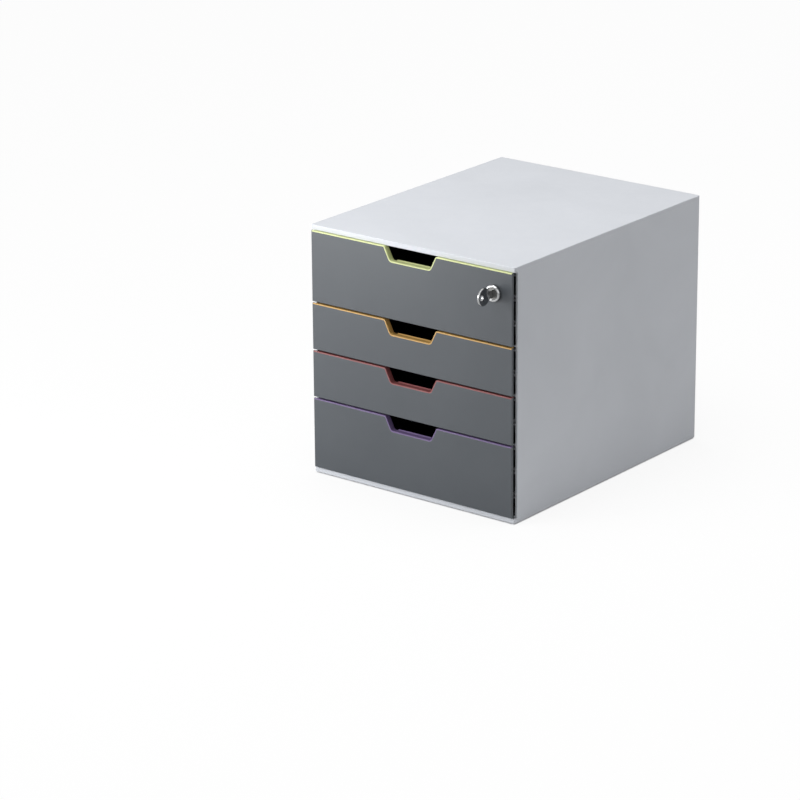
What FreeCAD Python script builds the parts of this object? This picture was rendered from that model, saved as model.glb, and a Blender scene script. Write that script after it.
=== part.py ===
import FreeCAD, Part
import math
import os
from collections import namedtuple

from FreeCAD import Vector

# Desktop file drawer: a moulded housing that holds four lift-stopped drawers, the top one with a cam lock.
# Millimetres. X points right, Y to the rear, Z up. The origin is the middle of the housing's footprint,
# on the plane that the feet stand on.

# ---- Driving dimensions: drawer stack ----
pitch = 28.0                      # height unit shared by the runners and the fronts
drawer_units = (3, 2, 2, 3)       # pitches that each drawer takes, top drawer first
case_width = 280.0                # outside, over the side panels
overall_depth = 356.0             # drawer faces to rear face
base_gap = 1.1                    # base rim to the lowest front
front_gap = 2.0                   # one front to the next
top_gap = 0.5                     # highest front to the top rim
side_reveal = 2.0                 # front's end to the outside of the housing
close_gap = 0.4                   # back of a closed front to the side panel's front edge

# ---- Driving dimensions: housing ----
side_wall = 2.7
rear_wall = 2.7
cap_wall = 2.7                    # plate of the top and base panels
cap_height = 5.7                  # plate and rim together
lip_setback = 2.5                 # rim's front behind the drawer faces
cap_corner_radius = 2.0
cap_edge_radius = 0.8
cap_inner_radius = 0.5
cap_rib_width = 1.4
cap_rib_height = 2.4
cap_rib_count = 5
lap_height = 2.8                  # tongue of a wall inside a cap's rim
lap_thickness = 1.8
fit_gap = 0.15                    # side play between pieces that are snapped together
bead_radius = 0.5
bead_length = 36.0
bead_count = 3
rear_rib_depth = 5.0              # rib on a side panel that the rear panel rests against
rear_rib_thickness = 2.2
clip_height = 10.0
clip_thickness = 1.4
clip_barb = 1.0
clip_barb_length = 1.8
rear_stiffener_depth = 4.0
rear_stiffener_count = 4

# ---- Driving dimensions: feet ----
foot_height = 1.0                 # below the base panel
foot_radius = 7.0
foot_recess = 1.4
foot_edge_radius = 0.7
foot_inset = 24.0                 # foot's axis from the housing's sides
foot_boss_wall = 2.0
foot_boss_height = 1.2

# ---- Driving dimensions: runners ----
ledge_drop = 6.0                  # carrying face below its pitch line
ledge_width = 11.0
ledge_thickness = 2.0
ledge_setback = 2.6               # runner's front end behind the side panel's front edge
ledge_lead_radius = 8.0           # rounded lead-in corner, seen from above
nose_flat = 0.02                  # flat left between the two round edges of a rib's nose
guard_width = 6.0                 # rib above the flange that stops a pulled-out drawer from tipping
guard_thickness = 1.6
guard_gap = 0.5
slide_gap = 0.3
stop_length = 4.0
stop_depth = 2.0
drawer_travel = 255.0

# ---- Driving dimensions: trays ----
tray_wall = 1.8
tray_floor = 1.8
tray_plate = 2.2                  # tray's own front wall, inside the cover
tray_draft = 1.0                  # degrees
tray_side_gap = 1.3               # tray to the edge of a ledge
tray_rear_gap = 10.3              # tray to the inside of the rear panel
tray_lift = 2.0                   # underside above the drawer's own pitch line
tray_rear_corner = 8.0
tray_front_corner = 2.5
tray_base_radius = 2.0
skid_height = 1.2
skid_width = 3.0
skid_count = 3
tray_inner_radius = 1.5
flange_thickness = 2.0
flange_play = 2.3                 # flange to the side panel's inside
flange_rear = 3.0
finger_length = 30.0              # springing stop finger at the flange's rear
finger_width = 2.5
finger_slot = 1.5
finger_nose = 1.8
finger_nose_length = 9.0
finger_nose_radius = 0.5
stop_gap = 0.3

# ---- Driving dimensions: drawer fronts ----
cover_depth = 7.0
cover_skin = 2.5
cover_wall = 2.0
side_recess = 3.0                 # side walls stand this far behind the ends of the face's plate
cover_edge_radius = 0.6
cover_rib_width = 1.2
cover_rib_first = 48.0            # ribs on each half of the front, from the middle plane
cover_rib_last = 100.0
cover_rib_count = 3
seat_gap = 0.1
notch_top_width = 71.0
notch_floor_width = 55.0
notch_depth = 16.0
notch_floor_radius = 4.5
notch_top_radius = 2.0
strip_thickness = 1.2
strip_end_cap = 0.8               # cover's end that hides the strip's end
strip_lip_depth = 2.0             # strip's floor runs this far behind the cover
strip_lip_height = 0.8
strip_lip_radius = 0.5
peg_width = 8.0
peg_thickness = 1.2
peg_length = 2.6
hook_width = 5.0
hook_thickness = 1.6
hook_barb = 0.9
hook_barb_length = 1.8
hook_margin = 14.0                # hook's centre from the front's top and bottom edges
hook_inset = 9.0                  # outer hooks' centre from the front's ends
hook_inner_x = 62.0

# ---- Driving dimensions: lock ----
lock_inset = 24.0                 # axis from the front's end
lock_drop = 25.6                  # axis below the front's top
bezel_radius = 9.75
bezel_height = 5.0
bezel_round = 2.3
barrel_radius = 7.5
barrel_flat = 6.3                 # axis to each flat of the barrel
barrel_length = 19.0
plug_radius = 5.2
plug_head_radius = 6.2
plug_head_length = 1.6
plug_recess = 1.4                 # plug's face behind the bezel's
running_gap = 0.05
shank_size = 6.0                  # square end that carries the cam
shank_length = 2.2
nut_across_flats = 17.0
nut_thickness = 3.5
nut_chamfer = 0.8
cam_thickness = 1.8
cam_tail_radius = 7.0
cam_tip_width = 11.0
cam_tip_radius = 3.0
cam_tip_gap = 0.6
cam_catch_gap = 0.5
strike_depth = 1.1                # pocket for the cam, cut into the top panel's plate
strike_play = 2.0
strike_wall = 2.4
screw_head_radius = 4.0
screw_head_height = 1.8
screw_radius = 1.5
screw_length = 5.0
screw_tip_gap = 1.0
wafer_count = 5
wafer_thickness = 0.9
wafer_pitch = 2.6
wafer_width = 4.8
wafer_height = 8.8
wafer_first = 5.0                 # first wafer behind the plug's face

# ---- Driving dimensions: key ----
blade_thickness = 2.0
blade_height = 6.4
blade_length = 17.5
blade_gap = 0.1
ward_depth = 0.5
ward_height = 1.6
bitting_depths = (0.6, 1.1, 0.4, 0.9, 0.5)
bow_radius = 10.0
bow_thickness = 2.4
bow_reach = 29.0                  # bow's far end in front of the drawer face
bow_hole_radius = 3.2
bow_bevel = 0.5
bow_neck_height = 9.0
key_shoulder_gap = 0.3

# ---- Derived places ----
half_width = case_width / 2
front_half = half_width - side_reveal
wall_x = half_width - side_wall
front_y = -overall_depth / 2
rear_y = overall_depth / 2
lip_y = front_y + lip_setback
skin_y = front_y + cover_skin
cover_back_y = front_y + cover_depth
plate_y = cover_back_y - tray_plate
plate_half = front_half - side_recess - cover_wall - fit_gap
side_front_y = cover_back_y + close_gap
rear_inside_y = rear_y - rear_wall
base_z = foot_height
lower_rim_z = base_z + cap_height
stack_z = lower_rim_z + base_gap
unit_count = sum(drawer_units)
upper_rim_z = stack_z + pitch * unit_count - front_gap + top_gap
top_z = upper_rim_z + cap_height
middle_z = (base_z + top_z) / 2
runner_front_y = side_front_y + ledge_setback
rear_rib_y = rear_inside_y - fit_gap - rear_rib_thickness
tray_half = wall_x - ledge_width - tray_side_gap
tray_rear_y = rear_inside_y - tray_rear_gap
flange_half = wall_x - flange_play
flange_rear_y = tray_rear_y + flange_rear
nose_front_y = flange_rear_y - finger_length
stop_rear_y = nose_front_y - drawer_travel - stop_gap
draft_slope = math.tan(math.radians(tray_draft))
wall_length = rear_rib_y - side_front_y
tongue_x = wall_x - fit_gap
tongue_z = lower_rim_z - lap_height / 2

Drawer = namedtuple("Drawer", "name low_z top_z flange_z has_lock")


def stacked_drawers():
    """Drawers from the top down, each with the heights that its pitches give it."""
    drawers = []
    line = unit_count
    for number, units in enumerate(drawer_units, start=1):
        low_z = stack_z + pitch * (line - units)
        line_z = stack_z + pitch * line
        flange_z = line_z - ledge_drop + slide_gap
        drawers.append(Drawer(f"drawer_{number}", low_z, line_z - front_gap, flange_z, number == 1))
        line -= units
    return drawers


drawers = stacked_drawers()
lock_x = front_half - lock_inset
lock_z = drawers[0].top_z - lock_drop
lock_axis = Vector(lock_x, 0, lock_z)
barrel_rear_y = front_y + barrel_length
plug_face_y = front_y - bezel_height + plug_recess
cam_front_y = barrel_rear_y + seat_gap
strike_top_z = top_z - cap_wall + strike_depth
cam_reach = strike_top_z - cam_tip_gap - lock_z


# ---- Shape helpers ----
def block(x0, x1, y0, y1, z0, z1):
    """Box between six planes."""
    return Part.makeBox(x1 - x0, y1 - y0, z1 - z0, Vector(x0, y0, z0))


def fused(shapes):
    """One solid from touching or crossing shapes."""
    return shapes[0].multiFuse(shapes[1:]).removeSplitter()


def mirrored(shape):
    """The same shape on the other side of the housing's middle plane."""
    return shape.mirror(Vector(0, 0, 0), Vector(1, 0, 0))


def spread(first, last, count):
    """Evenly spaced places from first to last."""
    return [first + (last - first) * i / (count - 1) for i in range(count)]


def unit(vector):
    """Vector of length one in the same direction."""
    return vector * (1 / vector.Length)


def rounded_wire(points, radii):
    """Closed outline through the points, each corner rounded by its radius."""
    pieces = []
    count = len(points)
    for i, corner in enumerate(points):
        towards = unit(points[i - 1] - corner)
        away = unit(points[(i + 1) % count] - corner)
        half_angle = towards.getAngle(away) / 2
        if radii[i] <= 0:
            pieces.append((corner, None, corner))
            continue
        reach = radii[i] / math.tan(half_angle)
        bisector = unit(towards + away)
        middle = corner + bisector * (radii[i] / math.sin(half_angle) - radii[i])
        pieces.append((corner + towards * reach, middle, corner + away * reach))
    edges = []
    for i, (start, middle, end) in enumerate(pieces):
        if middle is not None:
            edges.append(Part.Arc(start, middle, end).toShape())
        next_start = pieces[(i + 1) % count][0]
        if (next_start - end).Length > 1e-6:
            edges.append(Part.LineSegment(end, next_start).toShape())
    return Part.Wire(edges)


def prism(points, radii, travel):
    """Rounded outline swept along a vector."""
    return Part.Face(rounded_wire(points, radii)).extrude(travel)


def plan_wire(half, y0, y1, z, front_radius, rear_radius):
    """Level rectangle with rounded corners, centred on the middle plane."""
    points = [Vector(-half, y0, z), Vector(half, y0, z), Vector(half, y1, z), Vector(-half, y1, z)]
    return rounded_wire(points, [front_radius, front_radius, rear_radius, rear_radius])


def edges_at(shape, test):
    """Edges whose middle and ends all pass the test."""
    return [e for e in shape.Edges if all(test(v.Point) for v in e.Vertexes) and test(e.CenterOfMass)]


def about_lock(profile):
    """Solid turned about the lock's axis, from (radius, y) points."""
    wire = Part.makePolygon([Vector(lock_x + r, y, lock_z) for r, y in profile + profile[:1]])
    return Part.Face(wire).revolve(lock_axis, Vector(0, 1, 0), 360)


def lock_rod(radius, y0, y1):
    """Cylinder on the lock's axis."""
    return Part.makeCylinder(radius, y1 - y0, Vector(lock_x, y0, lock_z), Vector(0, 1, 0))


def square_rod(size, y0, y1):
    """Square bar on the lock's axis."""
    half = size / 2
    return block(lock_x - half, lock_x + half, y0, y1, lock_z - half, lock_z + half)


def double_d(radius, flat, y0, y1):
    """Cylinder on the lock's axis with a flat above and below."""
    limit = block(lock_x - radius, lock_x + radius, y0, y1, lock_z - flat, lock_z + flat)
    return lock_rod(radius, y0, y1).common(limit)


# ---- Housing: caps, walls and feet ----
def bead_rods(side_x, z, radius, extra):
    """Round ridges along a side wall's tongue, or their grooves when made larger."""
    reach = wall_length / 2 - bead_length
    middle_y = (side_front_y + rear_rib_y) / 2
    rods = []
    for y in spread(middle_y - reach, middle_y + reach, bead_count):
        start = Vector(side_x, y - bead_length / 2 - extra, z)
        rods.append(Part.makeCylinder(radius, bead_length + 2 * extra, start, Vector(0, 1, 0)))
    return rods



def cap_shell():
    """Shallow tray that closes the housing, open side up and standing at the base."""
    outer_wire = plan_wire(half_width, lip_y, rear_y, base_z, cap_corner_radius, cap_corner_radius)
    outer = Part.Face(outer_wire).extrude(Vector(0, 0, cap_height))
    outer = outer.makeFillet(cap_edge_radius, edges_at(outer, lambda p: abs(p.z - base_z) < 1e-6))
    inner_z = base_z + cap_wall
    radius = cap_inner_radius
    inner_wire = plan_wire(wall_x, lip_y + side_wall, rear_inside_y, inner_z, radius, radius)
    hollow = Part.Face(inner_wire).extrude(Vector(0, 0, cap_height))
    shell = outer.cut(hollow)
    grooves = bead_rods(tongue_x, tongue_z, bead_radius + fit_gap, fit_gap)
    return shell.cut(grooves + [mirrored(g) for g in grooves])


def cap_ribs(y0, y1):
    """Long stiffening ribs across a cap's hollow."""
    outermost = wall_x - lap_thickness - foot_inset
    z0 = base_z + cap_wall
    return [
        block(x - cap_rib_width / 2, x + cap_rib_width / 2, y0, y1, z0 - fit_gap, z0 + cap_rib_height)
        for x in spread(-outermost, outermost, cap_rib_count)
    ]


def upside_down(shape):
    """A cap turned over to the top of the housing."""
    return shape.mirror(Vector(0, 0, middle_z), Vector(0, 0, 1))


def foot_places():
    """Names and centres of the four feet."""
    x = half_width - foot_inset
    return {
        "front_left": (-x, lip_y + foot_inset),
        "front_right": (x, lip_y + foot_inset),
        "rear_left": (-x, rear_y - foot_inset),
        "rear_right": (x, rear_y - foot_inset),
    }


def base_panel():
    """Base cap with ribs, and a recess under a boss for each foot."""
    recess_radius = foot_radius + fit_gap
    boss_top = base_z + cap_wall + foot_boss_height
    rib_inset = 2 * foot_inset
    panel = fused([cap_shell()] + cap_ribs(lip_y + rib_inset, rear_y - rib_inset))
    bosses = []
    recesses = []
    for x, y in foot_places().values():
        height = boss_top - base_z - foot_recess
        start = Vector(x, y, base_z + foot_recess)
        bosses.append(Part.makeCylinder(recess_radius + foot_boss_wall, height, start))
        recesses.append(Part.makeCylinder(recess_radius, foot_recess, Vector(x, y, base_z)))
    return fused([panel] + bosses).cut(recesses)


def rubber_foot(x, y):
    """Turned pad with a rounded tread, pressed into the base panel."""
    pad = Part.makeCylinder(foot_radius, foot_height + foot_recess, Vector(x, y, 0))
    return pad.makeFillet(foot_edge_radius, edges_at(pad, lambda p: abs(p.z) < 1e-6))


def top_panel():
    """Top cap with ribs, the strike pocket for the lock's cam and the wall that the cam hooks behind."""
    catch_y = cam_front_y - cam_catch_gap
    half_pocket = cam_tail_radius + strike_play
    pocket_rear_y = cam_front_y + cam_thickness + cam_tail_radius
    shell = upside_down(cap_shell())
    ribs = [upside_down(rib) for rib in cap_ribs(pocket_rear_y + foot_inset, rear_y - foot_inset)]
    catch = block(
        lock_x - half_pocket - strike_wall, lock_x + half_pocket + strike_wall,
        catch_y - strike_wall, catch_y, upper_rim_z, top_z - cap_wall + fit_gap,
    )
    pocket = block(
        lock_x - half_pocket, lock_x + half_pocket,
        catch_y, pocket_rear_y, upper_rim_z, strike_top_z,
    )
    return fused([shell, catch] + ribs).cut(pocket)


def wall_rib(width, low_z, thickness):
    """Rib with a rounded nose along the inside of the right-hand wall."""
    root_x = half_width - side_wall / 2
    nose_x = wall_x - width
    nose = (thickness - nose_flat) / 2
    points = [
        Vector(root_x, runner_front_y, low_z + thickness), Vector(nose_x, runner_front_y, low_z + thickness),
        Vector(nose_x, runner_front_y, low_z), Vector(root_x, runner_front_y, low_z),
    ]
    return prism(points, [0, nose, nose, 0], Vector(0, rear_rib_y - runner_front_y + fit_gap, 0))


def runner(line_z):
    """One runner channel: carrying ledge, guard rib and the stop between them."""
    ledge_top = line_z - ledge_drop
    guard_low = ledge_top + slide_gap + flange_thickness + guard_gap
    ledge = wall_rib(ledge_width, ledge_top - ledge_thickness, ledge_thickness)
    guard = wall_rib(guard_width, guard_low, guard_thickness)
    stop = block(
        wall_x - stop_depth, half_width - side_wall / 2,
        stop_rear_y - stop_length, stop_rear_y, ledge_top - slide_gap, guard_low + slide_gap,
    )
    return [ledge, guard, stop]


def runner_stack():
    """All runner channels of the right-hand wall, with their front corners rounded to lead a tray in."""
    ribs = []
    for line in range(1, unit_count + 1):
        ribs += runner(stack_z + pitch * line)
    nose_x = wall_x - ledge_width
    plan = [
        Vector(nose_x, runner_front_y, lower_rim_z), Vector(half_width, runner_front_y, lower_rim_z),
        Vector(half_width, rear_y, lower_rim_z), Vector(nose_x, rear_y, lower_rim_z),
    ]
    envelope = prism(plan, [ledge_lead_radius, 0, 0, 0], Vector(0, 0, upper_rim_z - lower_rim_z))
    return [rib.common(envelope) for rib in ribs]


def side_panel():
    """Right-hand wall: flat outside, lap tongues above and below, runners inside, rear rib."""
    wall = block(wall_x, half_width, side_front_y, rear_y, lower_rim_z, upper_rim_z)
    rear_corner = edges_at(wall, lambda p: abs(p.x - half_width) < 1e-6 and abs(p.y - rear_y) < 1e-6)
    wall = wall.makeFillet(cap_corner_radius, rear_corner)
    tongue = block(
        tongue_x - lap_thickness, tongue_x, side_front_y, rear_rib_y,
        lower_rim_z - lap_height, upper_rim_z + lap_height,
    )
    waist = block(
        tongue_x - lap_thickness, wall_x, side_front_y, rear_rib_y,
        lower_rim_z, upper_rim_z,
    )
    window = block(
        tongue_x - lap_thickness - fit_gap, wall_x, side_front_y, rear_rib_y,
        lower_rim_z + lap_thickness, upper_rim_z - lap_thickness,
    )
    rear_rib = block(
        wall_x - rear_rib_depth, half_width - side_wall / 2, rear_rib_y, rear_rib_y + rear_rib_thickness,
        lower_rim_z, upper_rim_z,
    )
    beads = bead_rods(tongue_x, tongue_z, bead_radius, 0)
    beads += [upside_down(bead) for bead in beads]
    frame = fused([tongue, waist]).cut(window)
    return fused([wall, frame, rear_rib] + runner_stack() + beads)


def rear_clip(line_z):
    """Springing arm that snaps past the right-hand wall's rear rib."""
    x = wall_x - rear_rib_depth - fit_gap
    barb_y = rear_rib_y - fit_gap
    tip_y = barb_y - clip_barb_length
    z0 = line_z - pitch / 2 - clip_height / 2
    points = [
        Vector(x - clip_thickness, rear_inside_y + fit_gap, z0), Vector(x, rear_inside_y + fit_gap, z0),
        Vector(x, barb_y, z0), Vector(x + clip_barb, barb_y, z0),
        Vector(x, tip_y, z0), Vector(x - clip_thickness, tip_y, z0),
    ]
    return prism(points, [0] * len(points), Vector(0, 0, clip_height))


def rear_panel():
    """Rear wall with lap tongues, upright stiffeners and clips along both sides."""
    half = wall_x - fit_gap
    plate = block(-half, half, rear_inside_y, rear_y, lower_rim_z, upper_rim_z)
    tongue_half = tongue_x - lap_thickness - rear_rib_depth
    tongue_y = rear_inside_y - fit_gap
    tongue = block(
        -tongue_half, tongue_half, tongue_y - lap_thickness, tongue_y,
        lower_rim_z - lap_height, upper_rim_z + lap_height,
    )
    window = block(
        -half, half, tongue_y - lap_thickness, tongue_y,
        lower_rim_z + lap_thickness, upper_rim_z - lap_thickness,
    )
    bridges = [
        block(
            -tongue_half, tongue_half, tongue_y - lap_thickness, rear_y - rear_wall / 2,
            z, z + lap_thickness,
        )
        for z in (lower_rim_z, upper_rim_z - lap_thickness)
    ]
    reach = tongue_half - rear_rib_depth
    stiffeners = [
        block(
            x - cap_rib_width / 2, x + cap_rib_width / 2, rear_inside_y - rear_stiffener_depth,
            rear_inside_y + fit_gap, lower_rim_z, upper_rim_z,
        )
        for x in spread(-reach, reach, rear_stiffener_count)
    ]
    clips = [rear_clip(stack_z + pitch * line) for line in (2, unit_count // 2 + 1, unit_count)]
    clips += [mirrored(clip) for clip in clips]
    return fused([plate, tongue.cut(window)] + bridges + stiffeners + clips)


# ---- Drawer fronts ----
def top_edge(top, drop, reach):
    """Top edge of a front with its finger notch, lowered square to itself by drop."""
    high = notch_top_width / 2
    low = notch_floor_width / 2
    points = [
        Vector(-reach, 0, top), Vector(-high, 0, top), Vector(-low, 0, top - notch_depth),
        Vector(low, 0, top - notch_depth), Vector(high, 0, top), Vector(reach, 0, top),
    ]
    headings = [unit(b - a) for a, b in zip(points, points[1:])]
    normals = [Vector(h.z, 0, -h.x) for h in headings]
    before = normals[:1] + normals
    after = normals + normals[-1:]
    moved = [p + (m + n) * (drop / (1 + m.dot(n))) for p, m, n in zip(points, before, after)]
    crest = max(notch_top_radius - drop, 0)
    valley = notch_floor_radius + drop
    return moved, [0, crest, valley, valley, crest, 0]


def front_prism(drawer, drop, rise, reach, y0, y1):
    """Slab with the front's outline, its top edge lowered by drop and its bottom edge raised by rise."""
    low = drawer.low_z + rise
    points, radii = top_edge(drawer.top_z, drop, reach)
    outline = points + [Vector(reach, 0, low), Vector(-reach, 0, low)]
    placed = [Vector(p.x, y0, p.z) for p in outline]
    return prism(placed, radii + [0, 0], Vector(0, y1 - y0, 0))


def side_recesses(drawer):
    """Blocks that set a front's side walls back behind the ends of its plate."""
    right = block(
        front_half - side_recess, front_half + fit_gap, skin_y, cover_back_y + fit_gap,
        drawer.low_z - fit_gap, drawer.top_z + fit_gap,
    )
    return [right, mirrored(right)]


def hook_places(drawer):
    """Centre of each snap hook, with the direction that its barb points."""
    columns = (-(front_half - hook_inset), -hook_inner_x, hook_inner_x, front_half - hook_inset)
    rows = ((drawer.low_z + hook_margin, -1), (drawer.top_z - hook_margin, 1))
    return [(x, z, way) for x in columns for z, way in rows]


def snap_hook(x, z, way):
    """Cover's barbed arm, from its skin through the tray's front wall."""
    barb_y = cover_back_y + seat_gap
    half = hook_thickness / 2
    side = [
        (skin_y - seat_gap, -half), (barb_y + hook_barb_length, -half), (barb_y + hook_barb_length, 0),
        (barb_y, half + hook_barb), (barb_y, half), (skin_y - seat_gap, half),
    ]
    points = [Vector(x - hook_width / 2, y, z + way * h) for y, h in side]
    return prism(points, [0] * len(points), Vector(hook_width, 0, 0))


def hook_slot(x, z, way):
    """Slot in the tray's front wall that passes a hook and its barb."""
    half_x = hook_width / 2 + slide_gap
    near = z - way * (hook_thickness / 2 + slide_gap)
    far = z + way * (hook_thickness / 2 + hook_barb + slide_gap)
    return block(x - half_x, x + half_x, plate_y, cover_back_y, min(near, far), max(near, far))


def peg_places(drawer):
    """Places under the strip where its pegs stand."""
    quarter = (front_half + notch_top_width / 2) / 2
    edge_z = drawer.top_z - strip_thickness
    floor_z = edge_z - notch_depth
    return [(-quarter, edge_z), (0, floor_z), (quarter, edge_z)]


def peg(x, z, play):
    """Strip's peg, or the slot for it when play is given."""
    middle_y = (skin_y + plate_y) / 2
    half_x = peg_width / 2 + play
    half_y = peg_thickness / 2 + play
    return block(x - half_x, x + half_x, middle_y - half_y, middle_y + half_y, z - peg_length, z)


def front_cover(drawer):
    """Hollow dark face with a notch, snap hooks, ribs against the tray and slots for the strip's pegs."""
    outer = front_prism(drawer, strip_thickness, 0, front_half, front_y, cover_back_y)
    for side in (-1, 1):
        inner_x = side * (front_half - strip_end_cap)
        outer_x = side * front_half
        low = drawer.top_z - strip_thickness - cover_edge_radius
        outer = outer.fuse(block(
            min(inner_x, outer_x), max(inner_x, outer_x), front_y, cover_back_y, low, drawer.top_z,
        ))
    outer = outer.removeSplitter()
    face_edges = edges_at(outer, lambda p: abs(p.y - front_y) < 1e-6 and (
        abs(abs(p.x) - front_half) < 1e-6 or abs(p.z - drawer.low_z) < 1e-6))
    outer = outer.makeFillet(cover_edge_radius, face_edges)
    hollow_half = front_half - side_recess - cover_wall
    hollow = front_prism(drawer, strip_thickness + cover_wall, cover_wall, hollow_half, skin_y, cover_back_y)
    shell = outer.cut([hollow] + side_recesses(drawer))
    half_rib = cover_rib_width / 2
    ribs = [
        block(
            x - half_rib, x + half_rib, skin_y - seat_gap, plate_y - seat_gap,
            drawer.low_z + cover_wall / 2, drawer.top_z - strip_thickness - cover_wall / 2,
        )
        for x in spread(cover_rib_first, cover_rib_last, cover_rib_count)
    ]
    ribs += [mirrored(rib) for rib in ribs]
    hooks = [snap_hook(*place) for place in hook_places(drawer)]
    cuts = [peg(x, z, fit_gap) for x, z in peg_places(drawer)]
    if drawer.has_lock:
        ribs.append(lock_rod(bezel_radius + seat_gap, skin_y - seat_gap, plate_y - seat_gap))
        cuts.append(double_d(barrel_radius + fit_gap, barrel_flat + fit_gap, front_y, cover_back_y))
    return fused([shell] + ribs + hooks).cut(cuts)


def colour_strip(drawer):
    """Coloured edge that follows the front's top and notch, with a lip behind the notch and pegs below."""
    reach = front_half - strip_end_cap - seat_gap
    upper, upper_radii = top_edge(drawer.top_z, 0, reach)
    lower, lower_radii = top_edge(drawer.top_z, strip_thickness, reach)
    outline = upper + lower[::-1]
    points = [Vector(p.x, front_y, p.z) for p in outline]
    strip = prism(points, upper_radii + lower_radii[::-1], Vector(0, cover_depth, 0))
    strip = strip.cut(side_recesses(drawer))
    floor_half = notch_floor_width / 2 - notch_floor_radius
    floor_z = drawer.top_z - notch_depth
    lip_end_y = cover_back_y + strip_lip_depth
    lip = [
        (cover_back_y - seat_gap, -strip_thickness), (lip_end_y, -strip_thickness),
        (lip_end_y, strip_lip_height), (lip_end_y - strip_thickness, strip_lip_height),
        (cover_back_y - seat_gap, 0),
    ]
    lip_points = [Vector(-floor_half, y, floor_z + h) for y, h in lip]
    round_lip = [0, strip_lip_radius, strip_lip_radius, strip_lip_radius, 0]
    tail = prism(lip_points, round_lip, Vector(2 * floor_half, 0, 0))
    pegs = [peg(x, z + seat_gap, 0) for x, z in peg_places(drawer)]
    return fused([strip, tail] + pegs)


# ---- Trays ----
def tub(drawer, inset, floor_z, front, high_z, front_radius):
    """Drafted block with the tray's outside shape, drawn in from its walls by inset."""
    wires = []
    for z in (floor_z, high_z):
        lean = (drawer.flange_z + flange_thickness - z) * draft_slope
        half = tray_half - inset - lean
        rear = tray_rear_y - inset - lean
        wires.append(plan_wire(half, front, rear, z, front_radius, tray_rear_corner - inset))
    return Part.makeLoft(wires, True, True)


def stop_finger():
    """Outline of the right-hand finger's nose and the slot that frees it, as two flat prisms' points."""
    outer = flange_half
    nose = [
        Vector(outer - finger_width / 2, nose_front_y, 0), Vector(outer + finger_nose, nose_front_y, 0),
        Vector(outer, nose_front_y + finger_nose_length, 0),
        Vector(outer - finger_width / 2, nose_front_y + finger_nose_length, 0),
    ]
    inner = outer - finger_width - finger_slot
    return nose, inner


def tray_flange(drawer):
    """Flat rim that hangs the tray on its runners, with a springing stop finger on each side."""
    z = drawer.flange_z
    rim_wire = plan_wire(flange_half, plate_y + tray_plate / 2, flange_rear_y, z, 0, flange_rear)
    rim = Part.Face(rim_wire).extrude(Vector(0, 0, flange_thickness))
    nose_points, slot_x = stop_finger()
    placed = [p + Vector(0, 0, z) for p in nose_points]
    nose = prism(placed, [0, finger_nose_radius, 0, 0], Vector(0, 0, flange_thickness))
    slot_rear_y = flange_rear_y - 2 * finger_width
    slot = block(
        slot_x, slot_x + finger_slot, nose_front_y - finger_slot, slot_rear_y, z, z + flange_thickness,
    )
    mouth = block(
        slot_x, flange_half, nose_front_y - finger_slot, nose_front_y, z, z + flange_thickness,
    )
    front_corner = block(
        plate_half, flange_half + fit_gap, plate_y, cover_back_y + fit_gap, z, z + flange_thickness,
    )
    cuts = [slot, mouth, front_corner]
    rim = rim.cut(cuts + [mirrored(cut) for cut in cuts])
    return fused([rim, nose, mirrored(nose)])


def tray(drawer):
    """Moulded tub: drafted walls, runner flanges, skids and the notched front wall inside the cover."""
    low = drawer.low_z + tray_lift
    floor_z = low + skid_height
    high = drawer.flange_z + flange_thickness
    outer = tub(drawer, 0, floor_z, plate_y, high, tray_front_corner)
    base_edges = edges_at(outer, lambda p: abs(p.z - floor_z) < 1e-6)
    outer = outer.makeFillet(tray_base_radius, base_edges)
    inner_z = floor_z + tray_floor
    inner = tub(drawer, tray_wall, inner_z, cover_back_y, high, 0)
    inner_edges = edges_at(inner, lambda p: abs(p.z - inner_z) < 1e-6)
    side_and_rear = [e for e in inner_edges if e.CenterOfMass.y > cover_back_y + tray_wall]
    inner = inner.makeFillet(tray_inner_radius, side_and_rear)
    plate_drop = strip_thickness + cover_wall + fit_gap
    plate = front_prism(drawer, plate_drop, cover_wall + fit_gap, plate_half, plate_y, cover_back_y)
    side_reach = tray_half - tray_rear_corner
    skids = [
        block(
            x - skid_width / 2, x + skid_width / 2, plate_y + tray_rear_corner,
            tray_rear_y - tray_rear_corner, low, floor_z + tray_floor / 2,
        )
        for x in spread(-side_reach, side_reach, skid_count)
    ]
    body = fused([outer, tray_flange(drawer), plate] + skids).cut(inner)
    above, _ = top_edge(drawer.top_z, plate_drop, front_half)
    sky = [Vector(p.x, plate_y, p.z) for p in above]
    sky += [Vector(front_half, plate_y, top_z), Vector(-front_half, plate_y, top_z)]
    valley = notch_floor_radius + plate_drop
    notch = prism(sky, [0, 0, valley, valley, 0, 0, 0, 0], Vector(0, tray_plate, 0))
    cuts = [hook_slot(*place) for place in hook_places(drawer)] + [notch]
    if drawer.has_lock:
        cuts.append(double_d(barrel_radius + fit_gap, barrel_flat + fit_gap, plate_y, cover_back_y))
    return body.cut(cuts)


# ---- Lock ----
def lock_barrel():
    """Turned shell with a rounded bezel, a double-D body and a stepped bore for the plug."""
    bezel_y = front_y - bezel_height
    head_bore = plug_head_radius + running_gap
    bore = plug_radius + running_gap
    bezel = lock_rod(bezel_radius, bezel_y, front_y)
    bezel = bezel.makeFillet(bezel_round, edges_at(bezel, lambda p: abs(p.y - bezel_y) < 1e-6))
    dish = about_lock([(0, bezel_y), (bezel_radius - bezel_round, bezel_y), (head_bore, plug_face_y),
                       (0, plug_face_y)])
    body = double_d(barrel_radius, barrel_flat, front_y, barrel_rear_y)
    step_y = plug_face_y + plug_head_length + running_gap
    bores = [lock_rod(head_bore, bezel_y, step_y), lock_rod(bore, bezel_y, barrel_rear_y)]
    return fused([bezel, body]).cut([dish] + bores)


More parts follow.
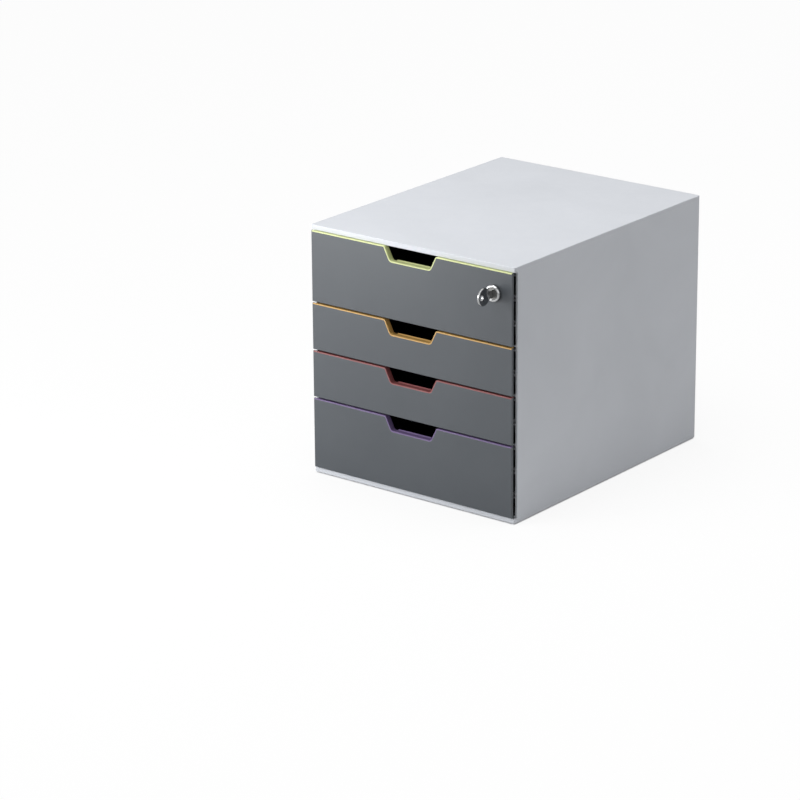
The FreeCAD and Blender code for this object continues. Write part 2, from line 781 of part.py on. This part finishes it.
def lock_nut():
    """Hexagon nut behind the tray's front wall, flats upright."""
    corner_radius = nut_across_flats / math.sqrt(3)
    corners = []
    for i in range(6):
        angle = math.radians(30 + 60 * i)
        corners.append(Vector(lock_x + corner_radius * math.cos(angle), cover_back_y,
                              lock_z + corner_radius * math.sin(angle)))
    nut = prism(corners, [0] * 6, Vector(0, nut_thickness, 0))
    chamfer = about_lock([
        (0, cover_back_y), (corner_radius, cover_back_y),
        (corner_radius, cover_back_y + nut_thickness - nut_chamfer),
        (nut_across_flats / 2, cover_back_y + nut_thickness), (0, cover_back_y + nut_thickness),
    ])
    bore = lock_rod(barrel_radius + running_gap, cover_back_y, cover_back_y + nut_thickness)
    return nut.common(chamfer).cut(bore)


def blade_section(y, play):
    """Key blade's cross-section with its side groove, or the keyway's when play is given."""
    x = lock_x + blade_thickness / 2 + play
    left = lock_x - blade_thickness / 2 - play
    z = blade_height / 2 + play
    ward = ward_height / 2 - play
    floor_x = x - ward_depth
    outline = [
        (left, -z), (x, -z), (x, -ward), (floor_x, -ward), (floor_x, ward), (x, ward), (x, z), (left, z),
    ]
    return [Vector(px, y, lock_z + pz) for px, pz in outline]


def wafer_places():
    """Front face of each wafer along the plug."""
    return [plug_face_y + wafer_first + wafer_pitch * i for i in range(wafer_count)]


def wafer(y, play):
    """One wafer as a plain plate, or its slot in the plug when play is given."""
    half_x = wafer_width / 2 + play
    half_z = wafer_height / 2 + play
    return block(lock_x - half_x, lock_x + half_x, y - play, y + wafer_thickness + play,
                 lock_z - half_z, lock_z + half_z)


def lock_plug():
    """Turned core with a head, keyway, wafer slots and a square end for the cam."""
    shank_end_y = barrel_rear_y + shank_length
    head = lock_rod(plug_head_radius, plug_face_y, plug_face_y + plug_head_length)
    core = lock_rod(plug_radius, plug_face_y, barrel_rear_y)
    shank = square_rod(shank_size, barrel_rear_y - fit_gap, shank_end_y)
    keyway_length = blade_length + key_shoulder_gap
    keyway = prism(blade_section(plug_face_y, blade_gap), [0] * 8, Vector(0, keyway_length, 0))
    slots = [wafer(y, blade_gap) for y in wafer_places()]
    thread = lock_rod(screw_radius, shank_end_y - screw_length, shank_end_y)
    return fused([head, core, shank]).cut([keyway, thread] + slots)


def lock_wafers():
    """Thin plates in the plug, each with a window round the key's blade."""
    half_x = blade_thickness / 2 + 2 * fit_gap
    half_z = blade_height / 2 + 2 * fit_gap
    plates = []
    for y in wafer_places():
        y1 = y + wafer_thickness
        window = block(lock_x - half_x, lock_x + half_x, y, y1, lock_z - half_z, lock_z + half_z)
        plates.append(wafer(y, 0).cut(window))
    return Part.makeCompound(plates)


def lock_cam():
    """Flat tapered bar on the plug's square end, lying to the left when unlocked."""
    tip_x = lock_x - cam_reach
    tip = cam_tip_width / 2
    points = [
        Vector(tip_x, cam_front_y, lock_z - tip), Vector(lock_x, cam_front_y, lock_z - cam_tail_radius),
        Vector(lock_x, cam_front_y, lock_z + cam_tail_radius), Vector(tip_x, cam_front_y, lock_z + tip),
    ]
    bar = prism(points, [cam_tip_radius, 0, 0, cam_tip_radius], Vector(0, cam_thickness, 0))
    tail = lock_rod(cam_tail_radius, cam_front_y, cam_front_y + cam_thickness)
    hole = square_rod(shank_size + 2 * running_gap, cam_front_y, cam_front_y + cam_thickness)
    return fused([bar, tail]).cut(hole)


def lock_cam_screw():
    """Pan-head screw that holds the cam on the plug."""
    seat_y = max(cam_front_y + cam_thickness, barrel_rear_y + shank_length)
    head_y = seat_y + screw_head_height
    head = lock_rod(screw_head_radius, seat_y, head_y)
    head = head.makeFillet(screw_head_height / 2, edges_at(head, lambda p: abs(p.y - head_y) < 1e-6))
    socket = lock_rod(screw_radius, head_y - screw_head_height / 2, head_y)
    stem = lock_rod(screw_radius - running_gap, seat_y - screw_length + screw_tip_gap, seat_y)
    return fused([head, stem]).cut(socket)


def key():
    """Flat key in the plug: grooved blade cut on both edges, shoulder and round bow in an upright plane."""
    shoulder_y = plug_face_y - key_shoulder_gap
    blade_end_y = shoulder_y + blade_length
    blade = prism(blade_section(shoulder_y, 0), [0] * 8, Vector(0, blade_length, 0))
    notches = []
    for y, depth in zip(wafer_places(), bitting_depths):
        middle_y = y + wafer_thickness / 2
        for way in (-1, 1):
            edge_z = lock_z + way * blade_height / 2
            wedge = [
                Vector(lock_x - blade_thickness, middle_y - 2 * depth, edge_z + way * depth),
                Vector(lock_x - blade_thickness, middle_y, edge_z - way * depth),
                Vector(lock_x - blade_thickness, middle_y + 2 * depth, edge_z + way * depth),
            ]
            notches.append(prism(wedge, [0] * 3, Vector(2 * blade_thickness, 0, 0)))
    point = blade_height / 2
    for way in (-1, 1):
        edge_z = lock_z + way * blade_height / 2
        nib = [
            Vector(lock_x - blade_thickness, blade_end_y - point, edge_z + way * fit_gap),
            Vector(lock_x - blade_thickness, blade_end_y + fit_gap, lock_z + way * fit_gap * 2),
            Vector(lock_x - blade_thickness, blade_end_y + fit_gap, edge_z + way * fit_gap),
        ]
        notches.append(prism(nib, [0] * 3, Vector(2 * blade_thickness, 0, 0)))
    bow_y = front_y - bow_reach + bow_radius
    half_bow = bow_thickness / 2
    side = Vector(lock_x - half_bow, bow_y, lock_z)
    bow = Part.makeCylinder(bow_radius, bow_thickness, side, Vector(1, 0, 0))
    bow = bow.makeChamfer(bow_bevel, [e for e in bow.Edges if e.Curve.TypeId == "Part::GeomCircle"])
    neck = block(
        lock_x - half_bow, lock_x + half_bow, bow_y, shoulder_y,
        lock_z - bow_neck_height / 2, lock_z + bow_neck_height / 2,
    )
    hole_y = bow_y - bow_radius / 2
    hole = Part.makeCylinder(
        bow_hole_radius, bow_thickness, Vector(lock_x - half_bow, hole_y, lock_z), Vector(1, 0, 0))
    return fused([blade.cut(notches), bow, neck]).cut(hole)


# ---- Assembly ----
def build():
    """Every node of the part by name."""
    side = side_panel()
    nodes = {
        "side_panel_left": mirrored(side),
        "side_panel_right": side,
        "top_panel": top_panel(),
        "base_panel": base_panel(),
        "rear_panel": rear_panel(),
    }
    for place, (x, y) in foot_places().items():
        nodes[f"rubber_foot_{place}"] = rubber_foot(x, y)
    for drawer in drawers:
        nodes[f"{drawer.name}_tray"] = tray(drawer)
        nodes[f"{drawer.name}_front_cover"] = front_cover(drawer)
        nodes[f"{drawer.name}_colour_strip"] = colour_strip(drawer)
    nodes["lock_barrel"] = lock_barrel()
    nodes["lock_nut"] = lock_nut()
    nodes["lock_plug"] = lock_plug()
    nodes["lock_wafers"] = lock_wafers()
    nodes["lock_cam"] = lock_cam()
    nodes["lock_cam_screw"] = lock_cam_screw()
    nodes["key"] = key()
    return nodes


os.makedirs("parts", exist_ok=True)
for name, shape in build().items():
    shape.exportStep(f"parts/{name}.step")
    print(name, "solids", len(shape.Solids), "valid", shape.isValid(), "mm3", round(shape.Volume))
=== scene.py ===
import math

import bpy
import numpy as np
from mathutils import Matrix, Vector

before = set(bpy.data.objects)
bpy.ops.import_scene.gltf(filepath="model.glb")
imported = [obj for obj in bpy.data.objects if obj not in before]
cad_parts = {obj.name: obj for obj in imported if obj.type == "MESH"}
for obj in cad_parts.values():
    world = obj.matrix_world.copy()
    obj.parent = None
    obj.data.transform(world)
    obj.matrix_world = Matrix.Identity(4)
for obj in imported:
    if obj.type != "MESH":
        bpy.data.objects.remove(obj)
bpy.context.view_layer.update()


# Housing: two side walls, a top and a base cap and a rear wall, clipped together. Each is
# moulded in light grey polystyrene from a spark-eroded tool, which leaves a fine satin grain.
# Years of sliding papers across it polish the rims a little. The rims are also a little lighter, partly from
# that wear and partly as a painted highlight.

def feed(tree, node, feeds):
    """Plugs a node's inputs, by name or number, with other nodes' outputs or with values."""
    for name, value in feeds.items():
        if isinstance(value, bpy.types.NodeSocket):
            tree.links.new(value, node.inputs[name])
        else:
            node.inputs[name].default_value = value
    return node


def put(tree, kind, feeds=None, **settings):
    """Adds one node to a shader tree, with its settings and what feeds it."""
    node = tree.nodes.new("ShaderNode" + kind)
    for name, value in settings.items():
        setattr(node, name, value)
    return feed(tree, node, feeds or {})


def effect(name, inputs, outputs):
    """Starts a shader node group with value, vector or colour sockets. Returns it and its two end nodes."""
    tree = bpy.data.node_groups.new(name, "ShaderNodeTree")
    kinds = {"value": "NodeSocketFloat", "vector": "NodeSocketVector", "colour": "NodeSocketColor"}
    for label, kind, start in inputs:
        socket = tree.interface.new_socket(label, in_out="INPUT", socket_type=kinds[kind])
        if start is not None:
            socket.default_value = start
    for label, kind in outputs:
        tree.interface.new_socket(label, in_out="OUTPUT", socket_type=kinds[kind])
    return tree, tree.nodes.new("NodeGroupInput"), tree.nodes.new("NodeGroupOutput")


def spark_grain():
    """Eroded tool grain: fractal noise and smooth cell pits of one size, mixed, as a height from 0 to 1."""
    tree, given, result = effect(
        "spark_grain",
        [("Place", "vector", None), ("Fineness", "value", 2200.0), ("Pits", "value", 0.4)],
        [("Height", "value")],
    )
    noise = put(tree, "TexNoise", {"Vector": given.outputs["Place"], "Scale": given.outputs["Fineness"],
                                   "Detail": 2.0, "Roughness": 0.55})
    cells = put(tree, "TexVoronoi", {"Vector": given.outputs["Place"], "Scale": given.outputs["Fineness"],
                                     "Smoothness": 0.6}, feature="SMOOTH_F1")
    both = put(tree, "Mix", {0: given.outputs["Pits"], 2: noise.outputs[0], 3: cells.outputs["Distance"]})
    tree.links.new(both.outputs[0], result.inputs["Height"])
    return tree


def moulding_flow():
    """Slow drift of a moulding's tone and gloss: warped noise a hand wide, spread over 0 to 1."""
    tree, given, result = effect(
        "moulding_flow",
        [("Place", "vector", None), ("Size", "value", 7.0)],
        [("Tone", "value"), ("Gloss", "value")],
    )
    tone = put(tree, "TexNoise", {"Vector": given.outputs["Place"], "Scale": given.outputs["Size"],
                                  "Detail": 3.0, "Roughness": 0.5, "Distortion": 0.7})
    finer = put(tree, "Math", {0: given.outputs["Size"], 1: 5.3}, operation="MULTIPLY")
    gloss = put(tree, "TexNoise", {"Vector": given.outputs["Place"], "Scale": finer.outputs[0],
                                   "Detail": 4.0, "Roughness": 0.6, "Distortion": 1.2})
    for source, label in ((tone, "Tone"), (gloss, "Gloss")):
        spread = put(tree, "MapRange", {"Value": source.outputs[0], "From Min": 0.32, "From Max": 0.68})
        tree.links.new(spread.outputs[0], result.inputs[label])
    return tree


def rubbed_and_highlit_edge():
    """Where fingers polish a moulding and where its edges get a painted highlight: the turn of its
    rounded-over normal from the face, broken by noise.
    """
    tree, given, result = effect(
        "rubbed_and_highlit_edge",
        [("Place", "vector", None), ("Round", "value", 0.0004), ("Breakup", "value", 260.0)],
        [("Edge", "value"), ("Normal", "vector")],
    )
    rounded = put(tree, "Bevel", {"Radius": given.outputs["Round"]}, samples=6)
    face = put(tree, "NewGeometry")
    turn = put(tree, "VectorMath", {0: rounded.outputs[0], 1: face.outputs["Normal"]},
               operation="DOT_PRODUCT")
    edge = put(tree, "MapRange", {"Value": turn.outputs["Value"], "From Min": 0.995, "From Max": 0.86})
    noise = put(tree, "TexNoise", {"Vector": given.outputs["Place"], "Scale": given.outputs["Breakup"],
                                   "Detail": 3.0})
    broken = put(tree, "MapRange", {"Value": noise.outputs[0], "From Min": 0.3, "From Max": 0.62})
    both = put(tree, "Math", {0: edge.outputs[0], 1: broken.outputs[0]}, operation="MULTIPLY")
    tree.links.new(both.outputs[0], result.inputs["Edge"])
    tree.links.new(rounded.outputs[0], result.inputs["Normal"])
    return tree


spark_grain_group = spark_grain()
moulding_flow_group = moulding_flow()
rubbed_and_highlit_edge_group = rubbed_and_highlit_edge()


def use(tree, group, feeds):
    """Places a node group in a material, with what feeds it."""
    node = tree.nodes.new("ShaderNodeGroup")
    node.node_tree = group
    return feed(tree, node, feeds)


def moulded_plastic(name, deep, pale, rubbed_and_highlit, gloss, grain_size, grain_depth, flow_size=7.0,
                    edge_round=0.0004):
    """Grained plastic. Its colour drifts from deep to pale and goes lighter on its edges, partly as wear from
    rubbing and partly as a painted highlight.
    Gloss is the range of its roughness, and the grain's size and depth are in metres."""
    finish = bpy.data.materials.new(name)
    finish.use_nodes = True
    tree = finish.node_tree
    shader = tree.nodes["Principled BSDF"]
    place = put(tree, "TexCoord").outputs["Object"]
    flow = use(tree, moulding_flow_group, {"Place": place, "Size": flow_size})
    edge = use(tree, rubbed_and_highlit_edge_group, {"Place": place, "Round": edge_round})
    grain = use(tree, spark_grain_group, {"Place": place, "Fineness": 1.0 / grain_size})
    body = put(tree, "Mix", {0: flow.outputs["Tone"], 6: (*deep, 1.0), 7: (*pale, 1.0)}, data_type="RGBA")
    # Painted highlight, partly wear: the edge mask lightens the colour on rounded edges.
    worn = put(tree, "Mix", {0: edge.outputs["Edge"], 6: body.outputs[2], 7: (*rubbed_and_highlit, 1.0)},
               data_type="RGBA")
    tree.links.new(worn.outputs[2], shader.inputs["Base Color"])
    spread = put(tree, "MapRange", {"Value": flow.outputs["Gloss"], "To Min": gloss[0], "To Max": gloss[1]})
    polished = put(tree, "MapRange", {"Value": edge.outputs["Edge"], "To Min": 0.0, "To Max": 0.12})
    rough = put(tree, "Math", {0: spread.outputs[0], 1: polished.outputs[0]}, operation="SUBTRACT")
    tree.links.new(rough.outputs[0], shader.inputs["Roughness"])
    bump = put(tree, "Bump", {"Strength": 1.0, "Distance": grain_depth, "Height": grain.outputs["Height"],
                              "Normal": edge.outputs["Normal"]})
    tree.links.new(bump.outputs[0], shader.inputs["Normal"])
    shader.inputs["IOR"].default_value = 1.5
    return finish


def dress(nodes, finish):
    """Gives each of these carried-over nodes one finish in every slot."""
    for node in nodes:
        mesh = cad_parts[node].data
        mesh.materials.clear()
        mesh.materials.append(finish)


housing_plastic = moulded_plastic(
    "light_grey_housing_plastic", deep=(0.550, 0.571, 0.610), pale=(0.588, 0.609, 0.650),
    rubbed_and_highlit=(0.65, 0.67, 0.70), gloss=(0.36, 0.44), grain_size=0.00042, grain_depth=0.00002,
)
dress(["side_panel_left", "side_panel_right", "top_panel", "base_panel", "rear_panel"], housing_plastic)


# Feet: four round pads of black rubber pressed into the base cap. The rubber is matt, takes up
# dust and is a little greyer on its edges, partly where it has been handled and partly as a painted
# highlight.

rubber_finish = moulded_plastic(
    "black_foot_rubber", deep=(0.014, 0.014, 0.014), pale=(0.030, 0.029, 0.028), rubbed_and_highlit=(0.06, 0.06, 0.058),
    gloss=(0.72, 0.86), grain_size=0.0003, grain_depth=0.00003, flow_size=60.0, edge_round=0.0003,
)
dress([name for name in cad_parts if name.startswith("rubber_foot")], rubber_finish)


# Trays and front covers: dark grey polystyrene. The covers snap onto the trays and are moulded
# in the same batch, with the same matt grain, a little glossier than the housing.

# The rubbed colour lightens the rounded edges: partly wear and partly a painted highlight.
drawer_plastic = moulded_plastic(
    "dark_grey_drawer_plastic", deep=(0.054, 0.062, 0.072), pale=(0.061, 0.070, 0.080),
    rubbed_and_highlit=(0.105, 0.118, 0.132), gloss=(0.36, 0.44), grain_size=0.00038, grain_depth=0.000018,
)
dress([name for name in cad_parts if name.endswith(("_tray", "_front_cover"))], drawer_plastic)


# Colour strips: thin U-shaped trims of dyed plastic, one colour for each drawer, which clip over
# the top edge of the cover and run down through the finger notch. They are satin and smooth.

strip_dyes = {
    "drawer_1_colour_strip": ("lime", (0.640, 0.690, 0.330)),
    "drawer_2_colour_strip": ("orange", (0.560, 0.335, 0.105)),
    "drawer_3_colour_strip": ("red", (0.250, 0.078, 0.078)),
    "drawer_4_colour_strip": ("purple", (0.160, 0.112, 0.240)),
}
dye_drift = 0.05
for strip, (dye, colour) in strip_dyes.items():
    strip_finish = moulded_plastic(
        dye + "_strip_plastic", deep=tuple(tone * (1 - dye_drift) for tone in colour),
        pale=tuple(tone * (1 + dye_drift) for tone in colour),
        # The strips' edges go lighter, partly as wear and partly as a painted highlight.
        rubbed_and_highlit=tuple(1.15 * tone + 0.03 for tone in colour),
        gloss=(0.28, 0.36), grain_size=0.0005, grain_depth=0.000006, flow_size=22.0, edge_round=0.0002,
    )
    dress([strip], strip_finish)


# Lock: barrel, plug and key of die-cast zinc and steel, polished and chrome plated. Keys on the
# same ring rub fine scratches round the bezel and the bow.

def fine_scratches():
    """Hair scratches: noise stretched a hundredfold along one way, kept where it is near its middle value."""
    tree, given, result = effect(
        "fine_scratches",
        [("Place", "vector", None), ("Fineness", "value", 900.0), ("Amount", "value", 0.5)],
        [("Scratch", "value"), ("Haze", "value")],
    )
    turned = put(tree, "Mapping", {"Vector": given.outputs["Place"], "Rotation": (0.4, 0.7, 0.3),
                                   "Scale": (1.0, 0.06, 0.5)})
    lines = put(tree, "TexNoise", {"Vector": turned.outputs[0], "Scale": given.outputs["Fineness"],
                                   "Detail": 2.0, "Distortion": 0.3})
    off = put(tree, "Math", {0: lines.outputs[0], 1: 0.5}, operation="SUBTRACT")
    near = put(tree, "Math", {0: off.outputs[0]}, operation="ABSOLUTE")
    hair = put(tree, "MapRange", {"Value": near.outputs[0], "From Min": 0.012, "From Max": 0.0})
    kept = put(tree, "Math", {0: hair.outputs[0], 1: given.outputs["Amount"]}, operation="MULTIPLY")
    haze = put(tree, "TexNoise", {"Vector": given.outputs["Place"], "Scale": 420.0, "Detail": 4.0})
    tree.links.new(kept.outputs[0], result.inputs["Scratch"])
    tree.links.new(haze.outputs[0], result.inputs["Haze"])
    return tree


fine_scratches_group = fine_scratches()


def plated_metal(name, dull, bright, rough, scratch_amount, edge_round=0.00025):
    """Plated metal. Its tone runs from dull to bright with a faint haze, rough is the range of its
    roughness, and hair scratches roughen it further."""
    finish = bpy.data.materials.new(name)
    finish.use_nodes = True
    tree = finish.node_tree
    shader = tree.nodes["Principled BSDF"]
    shader.inputs["Metallic"].default_value = 1.0
    place = put(tree, "TexCoord").outputs["Object"]
    marks = use(tree, fine_scratches_group, {"Place": place, "Amount": scratch_amount})
    edge = use(tree, rubbed_and_highlit_edge_group, {"Place": place, "Round": edge_round, "Breakup": 900.0})
    tone = put(tree, "Mix", {0: marks.outputs["Haze"], 6: (*dull, 1.0), 7: (*bright, 1.0)}, data_type="RGBA")
    tree.links.new(tone.outputs[2], shader.inputs["Base Color"])
    spread = put(tree, "MapRange", {"Value": marks.outputs["Haze"], "From Min": 0.3, "From Max": 0.7,
                                    "To Min": rough[0], "To Max": rough[1]})
    cut = put(tree, "MapRange", {"Value": marks.outputs["Scratch"], "To Max": 0.25})
    total = put(tree, "Math", {0: spread.outputs[0], 1: cut.outputs[0]}, operation="ADD")
    tree.links.new(total.outputs[0], shader.inputs["Roughness"])
    bump = put(tree, "Bump", {"Strength": 1.0, "Distance": 0.000004, "Height": marks.outputs["Scratch"],
                              "Normal": edge.outputs["Normal"]})
    bump.invert = True
    tree.links.new(bump.outputs[0], shader.inputs["Normal"])
    return finish


chrome_finish = plated_metal(
    "polished_chrome_plate", dull=(0.34, 0.345, 0.35), bright=(0.43, 0.435, 0.44), rough=(0.06, 0.13),
    scratch_amount=0.5,
)
dress(["lock_barrel", "key"], chrome_finish)


# Plug: turned from unplated steel, greyer and duller than the bezel round it, and worn by the
# tip of the key that finds its slot.

steel_finish = plated_metal(
    "dull_plug_steel", dull=(0.13, 0.13, 0.128), bright=(0.21, 0.208, 0.20), rough=(0.24, 0.38),
    scratch_amount=0.8,
)
dress(["lock_plug"], steel_finish)


# Nut, cam and cam screw: pressed and turned steel with a bright zinc plate, duller than the
# chrome and faintly mottled, behind the front where only the open drawer shows them.

zinc_finish = plated_metal(
    "bright_zinc_plate", dull=(0.42, 0.43, 0.43), bright=(0.58, 0.585, 0.57), rough=(0.26, 0.42),
    scratch_amount=0.7,
)
dress(["lock_nut", "lock_cam", "lock_cam_screw"], zinc_finish)


# Wafers: thin plates stamped from bare brass strip, which slide in the plug's slots and line up
# when the right key goes in.

brass_finish = plated_metal(
    "stamped_wafer_brass", dull=(0.58, 0.40, 0.15), bright=(0.74, 0.55, 0.24), rough=(0.22, 0.38),
    scratch_amount=0.6,
)
dress(["lock_wafers"], brass_finish)


# Studio: a wide white sweep under the box. To the camera and in reflections it is paper white,
# and it keeps a faint share of the light and shade that fall on it. Occlusion masks paint contact shade
# beside and under the box by letting more of that real light and shade show there.

def floor_sheet(half, rows):
    """Flat grid of points from -half to half both ways at the height of the feet's undersides."""
    u, v = np.meshgrid(np.linspace(-half, half, rows), np.linspace(-half, half, rows))
    points = np.stack([u.ravel(), v.ravel(), np.zeros(rows * rows)], axis=1)
    corner = (np.arange(rows - 1)[:, None] * rows + np.arange(rows - 1)).ravel()
    faces = np.stack([corner, corner + 1, corner + rows + 1, corner + rows], axis=1)
    mesh = bpy.data.meshes.new("studio_floor")
    mesh.from_pydata(points.tolist(), [], faces.tolist())
    return mesh


def paper_white_with_painted_shade(name, albedo, open_shade, near_painted_shade, mirror_level):
    """White paper with a glow of its own. The camera and glass see the glow, less open_shade of it far from
    the object.
    Occlusion masks take more of it away beside the object and all of it in the gap under it. That is a
    painted contact shade, through which the paper's real lamp light and shade show. Mirrors see mirror_level
    of it."""
    beside_reach = 0.25
    under_reach = 0.006
    finish = bpy.data.materials.new(name)
    finish.use_nodes = True
    tree = finish.node_tree
    tree.nodes.remove(tree.nodes["Principled BSDF"])
    paper = put(tree, "BsdfDiffuse", {"Color": (albedo, albedo, albedo, 1.0)})
    glow = put(tree, "Emission", {"Color": (1.0, 1.0, 1.0, 1.0), "Strength": 1.0})
    # Painted contact shade: occlusion masks take the glow away beside and under the box, so the paper's real
    # lamp light and shade show there.
    beside = put(tree, "AmbientOcclusion", {"Distance": beside_reach}, samples=8)
    under = put(tree, "AmbientOcclusion", {"Distance": under_reach}, samples=8)
    shade = put(tree, "MapRange", {"Value": beside.outputs["AO"], "From Min": 1.0, "From Max": 0.4,
                                   "To Min": open_shade, "To Max": open_shade + near_painted_shade})
    gap = put(tree, "MapRange", {"Value": under.outputs["AO"], "From Min": 0.5, "From Max": 0.2})
    dark = put(tree, "Math", {0: shade.outputs[0], 1: gap.outputs[0]}, operation="MAXIMUM")
    lit = put(tree, "Math", {0: 1.0, 1: dark.outputs[0]}, operation="SUBTRACT")
    rays = put(tree, "LightPath")
    seen = put(tree, "Math", {0: rays.outputs["Is Camera Ray"], 1: rays.outputs["Is Transmission Ray"]},
               operation="MAXIMUM")
    direct = put(tree, "Math", {0: seen.outputs[0], 1: lit.outputs[0]}, operation="MULTIPLY")
    mirrored = put(tree, "Math", {0: rays.outputs["Is Glossy Ray"], 1: mirror_level}, operation="MULTIPLY")
    share = put(tree, "Math", {0: direct.outputs[0], 1: mirrored.outputs[0]}, operation="MAXIMUM")
    mixed = put(tree, "MixShader", {0: share.outputs[0], 1: paper.outputs[0], 2: glow.outputs[0]})
    tree.links.new(mixed.outputs[0], tree.nodes["Material Output"].inputs["Surface"])
    return finish


floor = bpy.data.objects.new("studio_floor", floor_sheet(half=30.0, rows=3))
bpy.context.scene.collection.objects.link(floor)
sweep_paper = paper_white_with_painted_shade("sweep_paper", albedo=0.80, open_shade=0.03, near_painted_shade=0.12, mirror_level=0.41)
floor.data.materials.append(sweep_paper)

world = bpy.context.scene.world or bpy.data.worlds.new("studio_air")
bpy.context.scene.world = world
world.use_nodes = True
air = world.node_tree
air.nodes.clear()
air_rays = put(air, "LightPath")
air_straight = {0: air_rays.outputs["Is Camera Ray"], 1: air_rays.outputs["Is Transmission Ray"]}
air_seen = put(air, "Math", air_straight, operation="MAXIMUM")
air_level = put(air, "Math", {0: air_seen.outputs[0], 1: air_rays.outputs["Is Glossy Ray"]},
                operation="MAXIMUM")
air_glow = put(air, "Background", {"Color": (1.0, 1.0, 1.0, 1.0), "Strength": air_level.outputs[0]})
air_end = put(air, "OutputWorld")
air.links.new(air_glow.outputs[0], air_end.inputs["Surface"])


# Lamps: six soft boxes. The large one overhead lights the top, two at the front and one low at the
# left light the drawers, and two at the right lift the side wall.

def softbox(name, place, target, size, watts):
    """Square soft light at a place, facing a target."""
    lamp = bpy.data.lights.new(name, "AREA")
    lamp.shape = "SQUARE"
    lamp.size = size
    lamp.energy = watts
    holder = bpy.data.objects.new(name, lamp)
    bpy.context.scene.collection.objects.link(holder)
    aim = Vector(target) - Vector(place)
    holder.matrix_world = Matrix.Translation(place) @ aim.to_track_quat("-Z", "Y").to_matrix().to_4x4()
    return holder


object_middle = (0.0, 0.0, 0.15)
softbox("overhead_light", place=(0.0, 0.0, 2.2), target=object_middle, size=1.6, watts=32.9)
softbox("front_light", place=(-0.25, -1.1, 1.3), target=object_middle, size=0.8, watts=7.4)
softbox("low_left_light", place=(-0.60, -0.80, 0.35), target=(0.0, -0.17, 0.20), size=0.5, watts=6.7)
softbox("right_front_light", place=(1.3, -1.2, 0.9), target=object_middle, size=1.0, watts=2.3)
softbox("side_light", place=(1.9, 0.2, 0.9), target=object_middle, size=1.4, watts=4.4)
softbox("rear_side_light", place=(1.2, 1.2, 0.9), target=object_middle, size=1.0, watts=4.3)


# Camera: a long lens 4 m off, turned to the front's right and looking down a little, so that the
# fronts, the right wall and the top all show. aim_pixels sets the box off the picture's middle.

camera_turn = math.radians(38.207)
camera_rise = math.radians(19.041)
camera_roll = math.radians(-0.442)
camera_away = 4.0308
lens_pixels = 3559.0
aim_pixels = (107.0, -66.3)
frame_pixels = 800
film_width = 36.0

level = math.cos(camera_rise)
behind = Vector((math.sin(camera_turn) * level, -math.cos(camera_turn) * level, math.sin(camera_rise)))
across = Vector((math.cos(camera_turn), math.sin(camera_turn), 0.0))
above = behind.cross(across)
rolled_across = across * math.cos(camera_roll) + above * math.sin(camera_roll)
rolled_above = above * math.cos(camera_roll) - across * math.sin(camera_roll)
box_middle = Vector((0.0, 0.0, 0.146))
eye = box_middle + behind * camera_away
eye -= rolled_across * (aim_pixels[0] / lens_pixels * camera_away)
eye += rolled_above * (aim_pixels[1] / lens_pixels * camera_away)
camera_data = bpy.data.cameras.new("studio_camera")
camera_data.sensor_width = film_width
camera_data.lens = lens_pixels / frame_pixels * film_width
camera_data.clip_end = 100.0
camera = bpy.data.objects.new("studio_camera", camera_data)
bpy.context.scene.collection.objects.link(camera)
turn = Matrix((rolled_across, rolled_above, behind)).transposed()
camera.matrix_world = Matrix.Translation(eye) @ turn.to_4x4()
bpy.context.scene.camera = camera
bpy.context.scene.view_settings.view_transform = "Standard"
